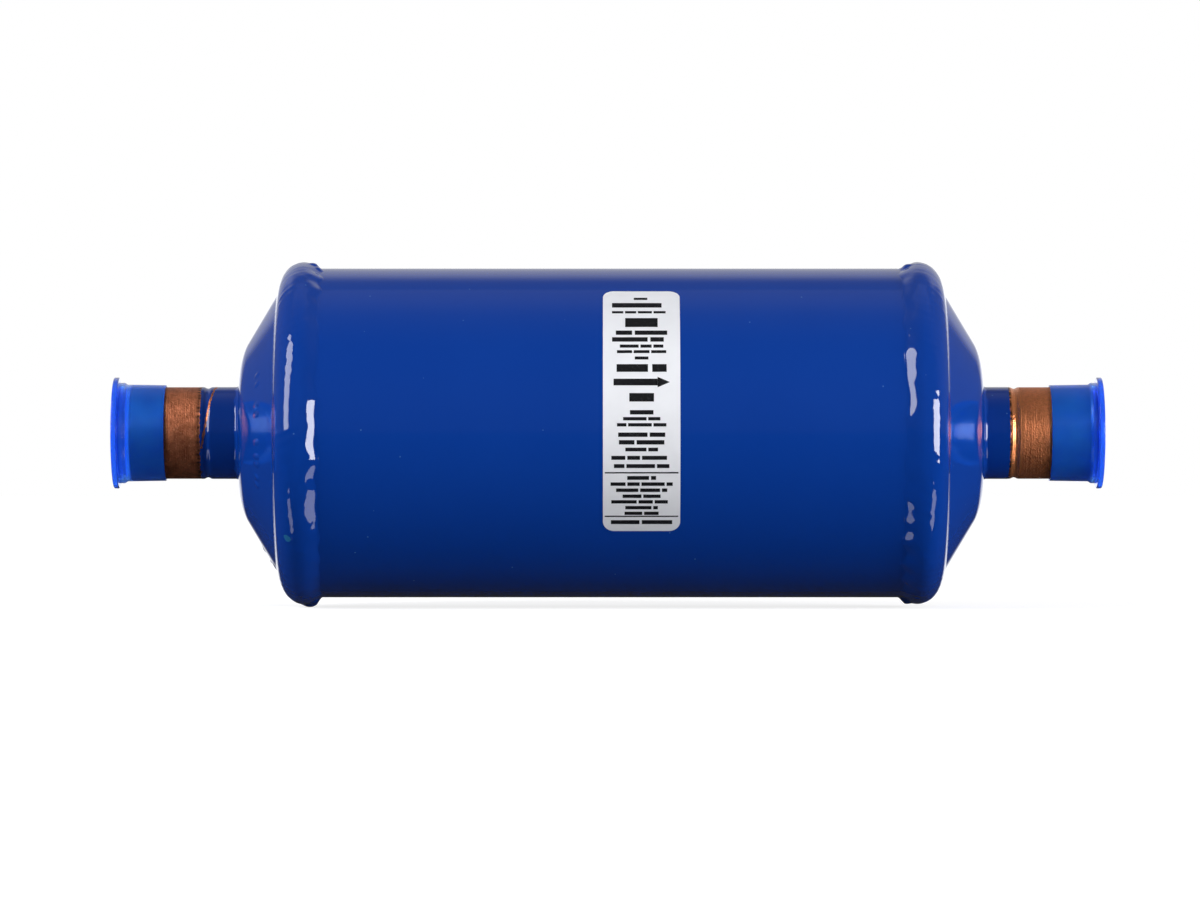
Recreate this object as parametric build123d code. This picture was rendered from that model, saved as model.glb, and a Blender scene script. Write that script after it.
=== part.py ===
from build123d import *
from math import atan, degrees, radians, sin, tan
import os

# Filter drier. +X is the direction of flow, +Z is up, and the origin is the middle of the
# body tube on its axis. Millimetres. Turned pieces are drawn as (x, radius) outlines for the
# outlet side and mirrored for the inlet side.

# Body tube
SHELL_OD = 88.9
SHELL_WALL = 2.3
SHELL_LENGTH = 168.0

# Pressed end caps
DOME_WALL = 2.3
DOME_NOSE_FLAT = 16.4
DOME_NOSE_ROUND = 16.0
DOME_KNUCKLE_ROUND = 8.0
DOME_FLANK_ANGLE = 30.8
DOME_SKIRT = 3.8
DOME_LAP = 5.0
DOME_SEAT_CLEARANCE = 0.1

# Girth welds
WELD_ON_TUBE = 7.0
WELD_ON_DOME = 5.7
WELD_HEIGHT = 2.0
WELD_CREST_SETBACK = 1.2
WELD_RUN_WIDTH = 5.8
WELD_RUN_DROP = 0.6

# Copper stubs with a solder socket
SOCKET_BORE = 22.3
STUB_WALL = 1.27
SOCKET_DEPTH = 19.5
STOP_WIDTH = 2.4
STOP_GROOVE = 0.4
STOP_RIDGE = 0.8
STUB_NECK = 7.6
STUB_INSET = 2.0
STUB_END_ROUND = 0.3
BRAZE_GAP = 0.1
BRAZE_LEG = 1.5

# Plastic shipping caps
SHIP_FIT = 0.05
SHIP_WALL = 0.6
SHIP_DRAFT = 0.15
SHIP_LENGTH = 14.1
SHIP_END = 1.4
SHIP_FLANGE_RADIUS = 15.0
SHIP_FLANGE_THICKNESS = 1.5
SHIP_FLANGE_ROUND = 0.35
SHIP_RING_STEP = 0.5
SHIP_RING_LENGTH = 1.8
INLET_CAP_GAP = 3.3
OUTLET_CAP_GAP = 1.6

# Label
LABEL_WIDTH = 20.4
LABEL_LENGTH = 72.5
LABEL_CORNER = 3.0
LABEL_THICKNESS = 0.12
LABEL_CENTRE_X = 8.0
LABEL_TILT = 11.0

# Perforated plates
PLATE_THICKNESS = 1.2
PLATE_RIM = 6.0
PLATE_BEND = 2.0
PLATE_HOLE = 4.5
PLATE_HOLE_RINGS = 4
PLATE_RING_SPACING = 8.4
PLATE_SLIDING_CLEARANCE = 0.4
PLATE_SEAT_CLEARANCE = 0.1
PLATE_TRAVEL = 6.0
PLATE_STOP_GAP = 0.5

# Bed
SCREEN_THICKNESS = 0.5
INLET_PAD_THICKNESS = 5.0
OUTLET_PAD_THICKNESS = 6.0
BED_CLEARANCE = 0.15

# Spring
SPRING_WIRE = 2.5
SPRING_TURNS = 5
SPRING_NOSE_CLEARANCE = 1.2
SPRING_PLATE_RADIUS = 29.0
SPRING_SEAT_GAP = 0.15

# Worked out from the values above
SHELL_RADIUS = SHELL_OD / 2
SHELL_BORE_RADIUS = SHELL_RADIUS - SHELL_WALL
TUBE_END = SHELL_LENGTH / 2
SKIRT_RADIUS = SHELL_BORE_RADIUS - DOME_SEAT_CLEARANCE
SKIRT_BACK = TUBE_END - DOME_LAP
FLANK_SLOPE = tan(radians(DOME_FLANK_ANGLE))
NOSE_HALF_TURN = tan(radians(DOME_FLANK_ANGLE / 2))
KNUCKLE_HALF_TURN = tan(radians((90 - DOME_FLANK_ANGLE) / 2))
NOSE_CORNER_RADIUS = DOME_NOSE_FLAT + DOME_NOSE_ROUND * NOSE_HALF_TURN
KNUCKLE_X = SKIRT_BACK + DOME_SKIRT + DOME_KNUCKLE_ROUND * KNUCKLE_HALF_TURN
NOSE_X = KNUCKLE_X + (SKIRT_RADIUS - NOSE_CORNER_RADIUS) * FLANK_SLOPE
NOSE_INNER_X = NOSE_X - DOME_WALL
SOCKET_RADIUS = SOCKET_BORE / 2
STUB_RADIUS = SOCKET_RADIUS + STUB_WALL
STOP_X = NOSE_X + STUB_NECK + STOP_WIDTH / 2
STUB_END = STOP_X + STOP_WIDTH / 2 + SOCKET_DEPTH
STUB_START = NOSE_INNER_X - STUB_INSET
PRESSURE_PLATE_FACE = -SKIRT_BACK + PLATE_TRAVEL + PLATE_STOP_GAP + PLATE_RIM
SUPPORT_PLATE_FACE = SKIRT_BACK - PLATE_RIM
SPRING_NOSE_RADIUS = STUB_RADIUS + SPRING_NOSE_CLEARANCE + SPRING_WIRE / 2


def turned(outline):
    """Revolve a closed (x, radius) outline about the X axis."""
    return revolve(make_face(outline), Axis.X)


def ring(x_from, x_to, inner_radius, outer_radius):
    """A plain ring or, with no inner radius, a disc between two places on the axis."""
    corners = [(x_from, inner_radius), (x_to, inner_radius), (x_to, outer_radius), (x_from, outer_radius)]
    return turned(Polyline(corners, close=True))


def to_inlet(piece):
    """The same piece on the inlet side."""
    return mirror(piece, about=Plane.YZ)


def dome_block(offset):
    """The end cap's form as a full body, with its surface moved inwards by the offset."""
    nose = (NOSE_X - offset, NOSE_CORNER_RADIUS - offset * NOSE_HALF_TURN)
    skirt_radius = SKIRT_RADIUS - offset
    knuckle = (nose[0] - (skirt_radius - nose[1]) * FLANK_SLOPE, skirt_radius)
    rounds = [DOME_NOSE_ROUND - offset, DOME_KNUCKLE_ROUND - offset]
    crown = FilletPolyline((nose[0], 0), nose, knuckle, (SKIRT_BACK, skirt_radius), radius=rounds)
    base = Polyline((SKIRT_BACK, skirt_radius), (SKIRT_BACK, 0), (nose[0], 0))
    return turned(Curve() + [crown, base])


def end_cap():
    """Pressed dome with a skirt inside the tube and a hole for the stub."""
    hole = ring(SKIRT_BACK, NOSE_X + DOME_WALL, 0, STUB_RADIUS + BRAZE_GAP)
    return dome_block(0) - dome_block(DOME_WALL) - hole


def shell_tube():
    """Plain steel tube."""
    return ring(-TUBE_END, TUBE_END, SHELL_BORE_RADIUS, SHELL_RADIUS)


def weld_block():
    """The weld's outer form: a long low toe on the tube and a steep nose on the dome."""
    crest_x = TUBE_END - WELD_CREST_SETBACK
    toe_x = TUBE_END - WELD_ON_TUBE
    front_x = TUBE_END + WELD_ON_DOME
    front_radius = NOSE_CORNER_RADIUS + (NOSE_X - front_x) / FLANK_SLOPE - DOME_WALL / 2
    toe = EllipticalCenterArc((crest_x, SHELL_RADIUS), crest_x - toe_x, WELD_HEIGHT, 90, arc_size=90)
    nose_height = SHELL_RADIUS + WELD_HEIGHT - front_radius
    nose = EllipticalCenterArc((crest_x, front_radius), front_x - crest_x, nose_height, 0, arc_size=90)
    base = Polyline((toe_x, SHELL_RADIUS), (toe_x, front_radius), (front_x, front_radius))
    return turned(Curve() + [toe, nose, base])


def weld_bead():
    """Girth weld, fused on to the tube's end and the dome's knuckle."""
    tube = ring(0, TUBE_END, 0, SHELL_RADIUS)
    return weld_block() - tube - dome_block(0)


def weld_run():
    """Drop that the bead ends in, hanging at its underside."""
    centre_x = TUBE_END - WELD_CREST_SETBACK - WELD_RUN_WIDTH / 4
    reach = SHELL_RADIUS + WELD_HEIGHT + WELD_RUN_DROP
    drop = Pos(centre_x, 0, WELD_RUN_WIDTH / 2 - reach) * Sphere(WELD_RUN_WIDTH / 2)
    return drop - ring(0, TUBE_END, 0, SHELL_RADIUS)


def wall_arc(x_middle, radius, sink):
    """Shallow arc across the stop, sinking towards the axis."""
    half = STOP_WIDTH / 2
    return ThreePointArc((x_middle - half, radius), (x_middle, radius - sink), (x_middle + half, radius))


def fitting():
    """Copper stub: neck, rolled tube stop and solder socket."""
    outer = wall_arc(STOP_X, STUB_RADIUS, STOP_GROOVE)
    inner = wall_arc(STOP_X, SOCKET_RADIUS, STOP_RIDGE)
    start_edge = Polyline(inner @ 0, (STUB_START, SOCKET_RADIUS), (STUB_START, STUB_RADIUS), outer @ 0)
    mouth = [outer @ 1, (STUB_END, STUB_RADIUS), (STUB_END, SOCKET_RADIUS), inner @ 1]
    end_edge = FilletPolyline(mouth, radius=STUB_END_ROUND)
    return turned(Curve() + [start_edge, outer, end_edge, inner])


def braze_ring():
    """Hollow fillet of braze in the corner between the dome's nose and the stub."""
    foot = (NOSE_X, STUB_RADIUS + BRAZE_LEG)
    top = (NOSE_X + BRAZE_LEG, STUB_RADIUS)
    sag = BRAZE_LEG * (1 - sin(radians(45)))
    hollow = ThreePointArc(foot, (NOSE_X + sag, STUB_RADIUS + sag), top)
    return turned(Curve() + [hollow, Polyline(top, (NOSE_X, STUB_RADIUS), foot)])


def shipping_cap(gap):
    """Moulded cap with a flange, a step ring and a thin sleeve, its end wall a gap past the tube."""
    bore = STUB_RADIUS + SHIP_FIT
    sleeve = bore + SHIP_WALL
    step = sleeve + SHIP_RING_STEP
    inside = STUB_END + gap
    face = inside + SHIP_END
    flange = face - SHIP_FLANGE_THICKNESS
    mouth = face - SHIP_LENGTH
    root = flange - SHIP_RING_LENGTH
    points = [
        (inside, 0),
        (inside, bore),
        (mouth, bore),
        (mouth, sleeve - SHIP_DRAFT),
        (root, sleeve),
        (root, step),
        (flange, step),
        (flange, SHIP_FLANGE_RADIUS),
        (face, SHIP_FLANGE_RADIUS),
        (face, 0),
    ]
    rounds = [0, 0, 0, 0, 0, 0, SHIP_FLANGE_ROUND, SHIP_FLANGE_ROUND]
    return turned(Curve() + [FilletPolyline(points, radius=rounds), Line((face, 0), (inside, 0))])


def flow_label():
    """Round-cornered label wrapped on the tube, facing -Y and a little upwards."""
    span = degrees(LABEL_LENGTH / SHELL_RADIUS)
    half_width = LABEL_WIDTH / 2
    low = (LABEL_CENTRE_X - half_width, SHELL_RADIUS)
    high = (LABEL_CENTRE_X + half_width, SHELL_RADIUS + LABEL_THICKNESS)
    section = make_face(Polyline(low, (high[0], low[1]), high, (low[0], high[1]), close=True))
    band = revolve(section, Axis.X, span)
    corners = band.edges().filter_by(lambda edge: edge.length < 2 * LABEL_THICKNESS)
    band = fillet(corners, LABEL_CORNER)
    return Rot(180 - LABEL_TILT - span / 2, 0, 0) * band


def perforated_plate(outer_radius):
    """Disc with its rim turned towards +X and rings of holes, its flat face at x = 0."""
    outer = FilletPolyline(
        (0, 0),
        (0, outer_radius),
        (PLATE_RIM, outer_radius),
        (PLATE_RIM, outer_radius - PLATE_THICKNESS),
        (PLATE_THICKNESS, outer_radius - PLATE_THICKNESS),
        (PLATE_THICKNESS, 0),
        radius=[PLATE_BEND, 0, 0, PLATE_BEND - PLATE_THICKNESS],
    )
    plate = turned(Curve() + [outer, Line((PLATE_THICKNESS, 0), (0, 0))])
    hole = Pos(PLATE_THICKNESS / 2, 0, 0) * Rot(0, 90, 0) * Cylinder(PLATE_HOLE / 2, 2 * PLATE_THICKNESS)
    holes = [hole]
    for number in range(1, PLATE_HOLE_RINGS + 1):
        count = 6 * number
        for index in range(count):
            holes.append(Rot(360 * index / count, 0, 0) * Pos(0, 0, number * PLATE_RING_SPACING) * hole)
    return plate - holes


def pressure_plate():
    """Sliding plate with its rim towards the inlet."""
    plate = perforated_plate(SHELL_BORE_RADIUS - PLATE_SLIDING_CLEARANCE)
    return Pos(PRESSURE_PLATE_FACE, 0, 0) * to_inlet(plate)


def support_plate():
    """Fixed plate that stands on the outlet dome's skirt."""
    plate = perforated_plate(SHELL_BORE_RADIUS - PLATE_SEAT_CLEARANCE)
    return Pos(SUPPORT_PLATE_FACE, 0, 0) * plate


def bed_stack():
    """Screens, pads and desiccant between the two plates, from the inlet to the outlet."""
    radius = SHELL_BORE_RADIUS - BED_CLEARANCE
    sliding_radius = SHELL_BORE_RADIUS - PLATE_SLIDING_CLEARANCE
    pad_start = PRESSURE_PLATE_FACE + SCREEN_THICKNESS
    bed_start = pad_start + INLET_PAD_THICKNESS
    screen_start = SUPPORT_PLATE_FACE - SCREEN_THICKNESS
    bed_end = screen_start - OUTLET_PAD_THICKNESS
    return {
        "inlet_screen": ring(PRESSURE_PLATE_FACE, pad_start, 0, sliding_radius),
        "inlet_filter_pad": ring(pad_start, bed_start, 0, radius),
        "desiccant_bed": ring(bed_start, bed_end, 0, radius),
        "outlet_filter_pad": ring(bed_end, screen_start, 0, radius),
        "outlet_screen": ring(screen_start, SUPPORT_PLATE_FACE, 0, radius),
    }


def bed_spring():
    """Conical coil spring from the inlet dome's flat nose to the pressure plate."""
    inset = SPRING_WIRE / 2 + SPRING_SEAT_GAP
    start = inset - NOSE_INNER_X
    height = PRESSURE_PLATE_FACE - PLATE_THICKNESS - inset - start
    flare = degrees(atan((SPRING_PLATE_RADIUS - SPRING_NOSE_RADIUS) / height))
    path = Helix(height / SPRING_TURNS, height, SPRING_NOSE_RADIUS, cone_angle=flare)
    section = Plane(path @ 0, z_dir=path % 0) * Circle(SPRING_WIRE / 2)
    return Pos(start, 0, 0) * Rot(0, 90, 0) * sweep(section, path, is_frenet=True)


def build_nodes():
    """Every named piece in its place."""
    nodes = {
        "shell_tube": shell_tube(),
        "inlet_end_cap": to_inlet(end_cap()),
        "outlet_end_cap": end_cap(),
        "inlet_weld_bead": to_inlet(weld_bead() + weld_run()),
        "outlet_weld_bead": weld_bead(),
        "inlet_fitting": to_inlet(fitting()),
        "outlet_fitting": fitting(),
        "inlet_braze_ring": to_inlet(braze_ring()),
        "outlet_braze_ring": braze_ring(),
        "inlet_shipping_cap": to_inlet(shipping_cap(INLET_CAP_GAP)),
        "outlet_shipping_cap": shipping_cap(OUTLET_CAP_GAP),
        "flow_label": flow_label(),
        "bed_spring": bed_spring(),
        "pressure_plate": pressure_plate(),
        "outlet_support_plate": support_plate(),
    }
    nodes.update(bed_stack())
    return nodes


os.makedirs("parts", exist_ok=True)
for name, piece in build_nodes().items():
    export_step(piece, f"parts/{name}.step")
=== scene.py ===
import math

import bmesh
import bpy
import numpy as np
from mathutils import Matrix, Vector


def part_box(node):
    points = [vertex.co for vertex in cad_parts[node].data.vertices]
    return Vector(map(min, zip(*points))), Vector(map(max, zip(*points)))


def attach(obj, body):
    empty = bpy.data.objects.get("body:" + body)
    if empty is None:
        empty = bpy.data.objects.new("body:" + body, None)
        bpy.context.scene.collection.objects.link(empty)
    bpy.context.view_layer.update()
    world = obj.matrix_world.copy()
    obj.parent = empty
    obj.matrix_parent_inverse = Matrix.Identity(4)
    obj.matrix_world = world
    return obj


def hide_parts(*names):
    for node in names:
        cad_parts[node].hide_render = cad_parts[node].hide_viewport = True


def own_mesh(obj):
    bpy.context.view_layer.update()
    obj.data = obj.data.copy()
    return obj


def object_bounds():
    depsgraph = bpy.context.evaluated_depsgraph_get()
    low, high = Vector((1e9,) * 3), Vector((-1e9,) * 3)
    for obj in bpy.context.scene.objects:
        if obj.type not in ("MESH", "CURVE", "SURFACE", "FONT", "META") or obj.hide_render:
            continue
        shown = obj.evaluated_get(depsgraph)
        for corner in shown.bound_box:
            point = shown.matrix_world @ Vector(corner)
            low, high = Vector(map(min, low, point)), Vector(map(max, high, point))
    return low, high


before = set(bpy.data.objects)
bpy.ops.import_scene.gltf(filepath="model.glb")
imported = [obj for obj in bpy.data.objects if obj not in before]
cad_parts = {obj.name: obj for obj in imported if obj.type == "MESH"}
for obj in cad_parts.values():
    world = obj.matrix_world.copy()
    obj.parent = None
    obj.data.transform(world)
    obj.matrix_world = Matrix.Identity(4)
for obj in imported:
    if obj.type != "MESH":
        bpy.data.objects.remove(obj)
cad_low, cad_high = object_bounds()

# Metres. +X is the direction of flow, +Z is up, the label faces -Y, and the body tube's axis is the X axis.
MM = 0.001
TURN = 2 * math.pi

# Sizes that the frame gives
SHELL_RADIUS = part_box("shell_tube")[1].y
TUBE_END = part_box("shell_tube")[1].x
NOSE_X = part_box("outlet_end_cap")[1].x
SKIRT_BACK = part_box("outlet_end_cap")[0].x
SKIRT_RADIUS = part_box("outlet_end_cap")[1].y
WELD_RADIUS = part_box("outlet_weld_bead")[1].y
WELD_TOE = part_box("outlet_weld_bead")[0].x
WELD_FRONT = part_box("outlet_weld_bead")[1].x
RUN_RADIUS = -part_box("inlet_weld_bead")[0].z
STUB_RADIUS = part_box("outlet_fitting")[1].y
STUB_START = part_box("outlet_fitting")[0].x
STUB_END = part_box("outlet_fitting")[1].x
BRAZE_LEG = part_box("outlet_braze_ring")[1].x - NOSE_X
INLET_CAP_FACE = -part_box("inlet_shipping_cap")[0].x
OUTLET_CAP_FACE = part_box("outlet_shipping_cap")[1].x
CAP_FLANGE_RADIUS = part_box("outlet_shipping_cap")[1].y
CAP_LENGTH = OUTLET_CAP_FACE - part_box("outlet_shipping_cap")[0].x

# Sizes of the same pieces that their boxes don't give
SHELL_WALL = 2.3 * MM
DOME_WALL = 2.3 * MM
NOSE_FLAT = 16.4 * MM
NOSE_ROUND = 16.0 * MM
KNUCKLE_ROUND = 8.0 * MM
FLANK_ANGLE = math.radians(30.8)
WELD_CREST_SETBACK = 1.2 * MM
STUB_WALL = 1.27 * MM
STOP_WIDTH = 2.4 * MM
STOP_GROOVE = 0.4 * MM
STOP_RIDGE = 0.8 * MM
SOCKET_DEPTH = 19.5 * MM
CAP_FIT = 0.05 * MM
CAP_WALL = 0.6 * MM
CAP_DRAFT = 0.15 * MM
CAP_END = 1.4 * MM
CAP_FLANGE = 1.5 * MM
CAP_STEP = 0.5 * MM
CAP_STEP_LENGTH = 1.8 * MM
CAP_FLARE = 0.35 * MM
PAINT_DEPTH = 0.05 * MM
LABEL_THICKNESS = 0.12 * MM
LABEL_CORNER = 3.0 * MM
LABEL_TILT = math.radians(11.0)
LABEL_LENGTH = 72.5 * MM


# ---------------------------------------------------------------- surfaces

def put_mesh(name, points, faces, sharp_degrees=40.0):
    """A smooth-shaded object from an (n, 3) array of points and an (m, 4) array of corner numbers."""
    mesh = bpy.data.meshes.new(name)
    mesh.from_pydata(points.reshape(-1, 3), [], faces)
    mesh.polygons.foreach_set("use_smooth", np.ones(len(mesh.polygons), bool))
    mesh.set_sharp_from_angle(angle=math.radians(sharp_degrees))
    piece = bpy.data.objects.new(name, mesh)
    bpy.context.scene.collection.objects.link(piece)
    return piece


def grid_faces(rows, columns, wrap_rows=False, wrap_columns=False):
    """Corner numbers of the quads of a rows by columns grid of points, joined round where it wraps."""
    row, column = np.meshgrid(
        np.arange(rows if wrap_rows else rows - 1),
        np.arange(columns if wrap_columns else columns - 1),
        indexing="ij",
    )
    next_row, next_column = (row + 1) % rows, (column + 1) % columns
    corners = [(row, column), (next_row, column), (next_row, next_column), (row, next_column)]
    return np.stack([r * columns + c for r, c in corners], -1).reshape(-1, 4)


def round_the_axis(x, radius, angle):
    """Points at x on the axis, at a radius from it, turned from -Y towards +Z by the angle."""
    return np.stack(np.broadcast_arrays(x, -radius * np.cos(angle), radius * np.sin(angle)), -1)


def rounded(corners, radii, steps):
    """An outline through the corners, where each corner with a radius becomes an arc.

    An arc of radius q between directions a and b has its tangent points q tan(turn / 2) from the
    corner, and its points are a circle's about the centre that lies q from both runs."""
    corners = np.array(corners, float)
    out = [corners[:1]]
    for before, corner, after, radius in zip(corners, corners[1:], corners[2:], radii):
        a = (before - corner) / np.linalg.norm(before - corner)
        b = (after - corner) / np.linalg.norm(after - corner)
        if radius == 0:
            out.append(corner[None])
            continue
        half_angle = np.arccos(np.clip(a @ b, -1, 1)) / 2
        middle = (a + b) / np.linalg.norm(a + b)
        centre = corner + middle * radius / np.sin(half_angle)
        start = corner + a * radius / np.tan(half_angle)
        end = corner + b * radius / np.tan(half_angle)
        share = np.linspace(0, 1, steps)[:, None]
        swing = np.pi - 2 * half_angle
        arms = np.sin((1 - share) * swing) * (start - centre) + np.sin(share * swing) * (end - centre)
        out.append(centre + arms / np.sin(swing))
    out.append(corners[-1:])
    return np.concatenate(out)


def spaced(outline, step):
    """The outline with further points along its straight runs, at most a step apart."""
    out = []
    for start, end in zip(outline, outline[1:]):
        count = max(1, math.ceil(np.linalg.norm(end - start) / step))
        out.append(start + (end - start) * np.arange(count)[:, None] / count)
    out.append(outline[-1:])
    return np.concatenate(out)


def lathe(name, outline, side, segments, swell=None, closed=True):
    """An (x, radius) outline turned about the axis. side is 1 at the outlet and -1, which mirrors the
    x values, at the inlet. swell(x, angle) is added to the radius. The outline's ends are joined
    unless closed is False, for one that starts and ends on the axis."""
    angle = np.linspace(0, TURN, segments, endpoint=False)[None, :]
    x, radius = outline[:, :1] * side, outline[:, 1:]
    if swell is not None:
        radius = radius + swell(outline[:, :1], angle)
    points = round_the_axis(x, radius, angle)
    if side < 0:
        points = points[::-1]
    piece = put_mesh(name, points, grid_faces(len(outline), segments, closed, True))
    if np.any(outline[:, 1] == 0):
        close_poles(piece)
    return piece


def slab(name, outer, inner):
    """Thin sheets, each closed between two (rows, columns) grids of points: the outer grid, the inner
    one turned back, and strips of faces round the rim. Leading axes hold separate sheets."""
    rows, columns = outer.shape[-3:-1]
    loop = np.concatenate([outer, inner[..., ::-1, :, :]], axis=-3)
    here = np.arange(rows - 1)
    there = 2 * rows - 1 - here
    low_rim = np.stack([here, there, there - 1, here + 1], -1) * columns
    high_rim = np.stack([here, here + 1, there - 1, there], -1) * columns + columns - 1
    faces = np.concatenate([grid_faces(2 * rows, columns, wrap_rows=True), low_rim, high_rim])
    count = loop.size // (2 * rows * columns * 3)
    offsets = 2 * rows * columns * np.arange(count)[:, None, None]
    return put_mesh(name, loop, (faces[None] + offsets).reshape(-1, 4))


def number(piece, name, rule):
    """Gives each point of the piece a number, a rule of its place."""
    places = np.empty(len(piece.data.vertices) * 3, np.float32)
    piece.data.vertices.foreach_get("co", places)
    values = rule(*places.reshape(-1, 3).T)
    layer = piece.data.attributes.new(name, "FLOAT", "POINT")
    layer.data.foreach_set("value", np.ascontiguousarray(values, np.float32))


def close_poles(piece):
    """Joins the points that lie together on the axis."""
    work = bmesh.new()
    work.from_mesh(piece.data)
    bmesh.ops.remove_doubles(work, verts=work.verts, dist=1e-7)
    work.to_mesh(piece.data)
    work.free()


def waves(angle, seed, lowest, highest):
    """A smooth random curve round the part, between about -1 and 1: a sum of sines of whole
    numbers of waves with seeded phases, each divided by the root of their number."""
    rng = np.random.default_rng(seed)
    numbers = np.arange(lowest, highest + 1)
    phases = rng.uniform(0, TURN, len(numbers))
    heights = rng.uniform(0.5, 1.0, len(numbers))
    total = sum(h * np.sin(n * angle + p) for n, p, h in zip(numbers, phases, heights))
    return total / math.sqrt(len(numbers))


def bump(value, centre, width):
    """A bell curve of height 1."""
    return np.exp(-(((value - centre) / width) ** 2))


def smooth_step(value, low, high):
    """0 below low, 1 above high and 3q^2 - 2q^3 between."""
    q = np.clip((value - low) / (high - low), 0, 1)
    return q * q * (3 - 2 * q)


def turn_between(angle, centre):
    """The angle's signed distance from the centre, the short way round."""
    return (angle - centre + math.pi) % TURN - math.pi


# ---------------------------------------------------------------- shader maths

class Field:
    """A value that varies over a surface. Arithmetic on it adds Math nodes."""

    def __init__(self, finish, socket):
        self.finish = finish
        self.socket = socket

    def math(self, operation, *others):
        """A Math node with this value in its first input."""
        return self.finish.node("ShaderNodeMath", {"operation": operation}, self, *others)

    def __add__(self, other):
        return self.math("ADD", other)

    def __mul__(self, other):
        return self.math("MULTIPLY", other)

    def __lt__(self, other):
        return self.math("LESS_THAN", other)

    def __rsub__(self, other):
        return self.finish.node("ShaderNodeMath", {"operation": "SUBTRACT"}, other, self)

    __radd__ = __add__
    __rmul__ = __mul__


class Finish:
    """The nodes of a material, or of the world, that is being made."""

    def __init__(self, name, world=False):
        self.owner = bpy.data.worlds.new(name) if world else bpy.data.materials.new(name)
        self.owner.use_nodes = True
        self.nodes = self.owner.node_tree.nodes
        self.links = self.owner.node_tree.links
        self.nodes.clear()

    def node(self, kind, settings=None, *values, out=0, **named):
        """Adds a node: its settings first, then a value or link for each input in turn or by name."""
        node = self.nodes.new(kind)
        for key, value in (settings or {}).items():
            setattr(node, key, value)
        by_name = {key.replace("_", " "): value for key, value in named.items()}
        for key, value in [*enumerate(values), *by_name.items()]:
            if isinstance(value, Field):
                self.links.new(value.socket, node.inputs[key])
            elif value is not None:
                node.inputs[key].default_value = value
        return Field(self, node.outputs[out]) if node.outputs else None

    def place(self, stretch=(1, 1, 1)):
        """Object coordinates in metres, stretched."""
        coordinates = self.node("ShaderNodeTexCoord", out="Object")
        return self.node("ShaderNodeVectorMath", {"operation": "MULTIPLY"}, coordinates, stretch)

    def axis(self, letter):
        """One of the object coordinates."""
        coordinates = self.node("ShaderNodeTexCoord", out="Object")
        return self.node("ShaderNodeSeparateXYZ", None, coordinates, out=letter)

    def noise(self, scale, detail=2.0, rough=0.5, stretch=(1, 1, 1)):
        """Cloudy noise from 0 to 1. Its scale is in waves to the metre of stretched coordinates."""
        return self.node("ShaderNodeTexNoise", None, Vector=self.place(stretch), Scale=scale,
                         Detail=detail, Roughness=rough)

    def cells(self, scale, stretch=(1, 1, 1), out="Distance"):
        """Cells round scattered points: the distance from the nearest point, in cells, or another
        output, such as a colour for each cell."""
        return self.node("ShaderNodeTexVoronoi", None, Vector=self.place(stretch), Scale=scale, out=out)

    def step(self, value, low, high):
        """0 at low, 1 at high, smooth between."""
        smooth = {"interpolation_type": "SMOOTHSTEP"}
        return self.node("ShaderNodeMapRange", smooth, value, low, high, 0.0, 1.0)

    def ray(self, kind):
        """1 for rays of that kind."""
        return self.node("ShaderNodeLightPath", out=kind)

    def attribute(self, name):
        """The piece's own number of that name."""
        return self.node("ShaderNodeAttribute", {"attribute_name": name}, out="Fac")

    def mix(self, factor, first, second):
        """Colour between two colours."""
        node = self.nodes.new("ShaderNodeMix")
        node.data_type = "RGBA"
        for key, value in ((0, factor), (6, first), (7, second)):
            if isinstance(value, Field):
                self.links.new(value.socket, node.inputs[key])
            else:
                node.inputs[key].default_value = value if key == 0 else (*value, 1.0)
        return Field(self, node.outputs[2])

    def relief(self, height, depth, below=None):
        """Bump from a height of 0 to 1 that stands for a depth in metres."""
        return self.node("ShaderNodeBump", None, Strength=1.0, Distance=depth, Height=height, Normal=below)

    def surface(self, **inputs):
        """Closes the material with a Principled shader."""
        shader = self.node("ShaderNodeBsdfPrincipled", None, **inputs)
        self.node("ShaderNodeOutputMaterial", None, shader)
        return self.owner


def grey(level):
    """An opaque grey."""
    return (level, level, level, 1.0)


# ---------------------------------------------------------------- finishes

# Linear red, green and blue. A pair holds the two ends that a pattern mixes between.
PAINT = (0.0026, 0.038, 0.272)
PAINT_THIN = (0.0046, 0.046, 0.302)
# A darker blue for thick paint, for dirt and painted shade beside the paint's edge, and for painted shade
# on the inlet neck
PAINT_THICK_AND_SHADE = (0.0020, 0.012, 0.075)
PAINT_DUST = (0.10, 0.24, 0.52)
PAINT_CHIP = (0.020, 0.150, 0.300)
COPPER_BARE = (0.68, 0.235, 0.112)
COPPER_DULL = (0.40, 0.125, 0.056)
COPPER_GLINT = (0.95, 0.430, 0.230)
# Dark copper for dirt and painted shade beside the paint's edge
COPPER_DARK = (0.06, 0.028, 0.018)
COPPER_BRIGHT = (0.95, 0.33, 0.13)
POLYTHENE_THIN = ((0.10, 0.36, 1.0), (0.16, 0.44, 1.0))
POLYTHENE_DEEP = ((0.022, 0.13, 1.0), (0.036, 0.18, 1.0))
POLYTHENE_MILKY = ((0.010, 0.15, 0.82), (0.024, 0.29, 1.0))
SILVER = ((0.88, 0.89, 0.93), (0.94, 0.95, 0.99))
INK = ((0.004, 0.004, 0.006), (0.016, 0.016, 0.020))
STEEL = ((0.36, 0.36, 0.38), (0.62, 0.62, 0.64))
# Woven wire from painted shade to painted highlight
WIRE_SHADED_TO_LIT = ((0.10, 0.10, 0.11), (0.60, 0.60, 0.62))
FIBRE = ((0.55, 0.52, 0.40), (0.88, 0.86, 0.76))
BEADS = ((0.50, 0.38, 0.27), (0.80, 0.76, 0.68))
# Painted shade in the gaps between packed beads
BEAD_GAP_SHADE = (0.12, 0.09, 0.07)

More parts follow.
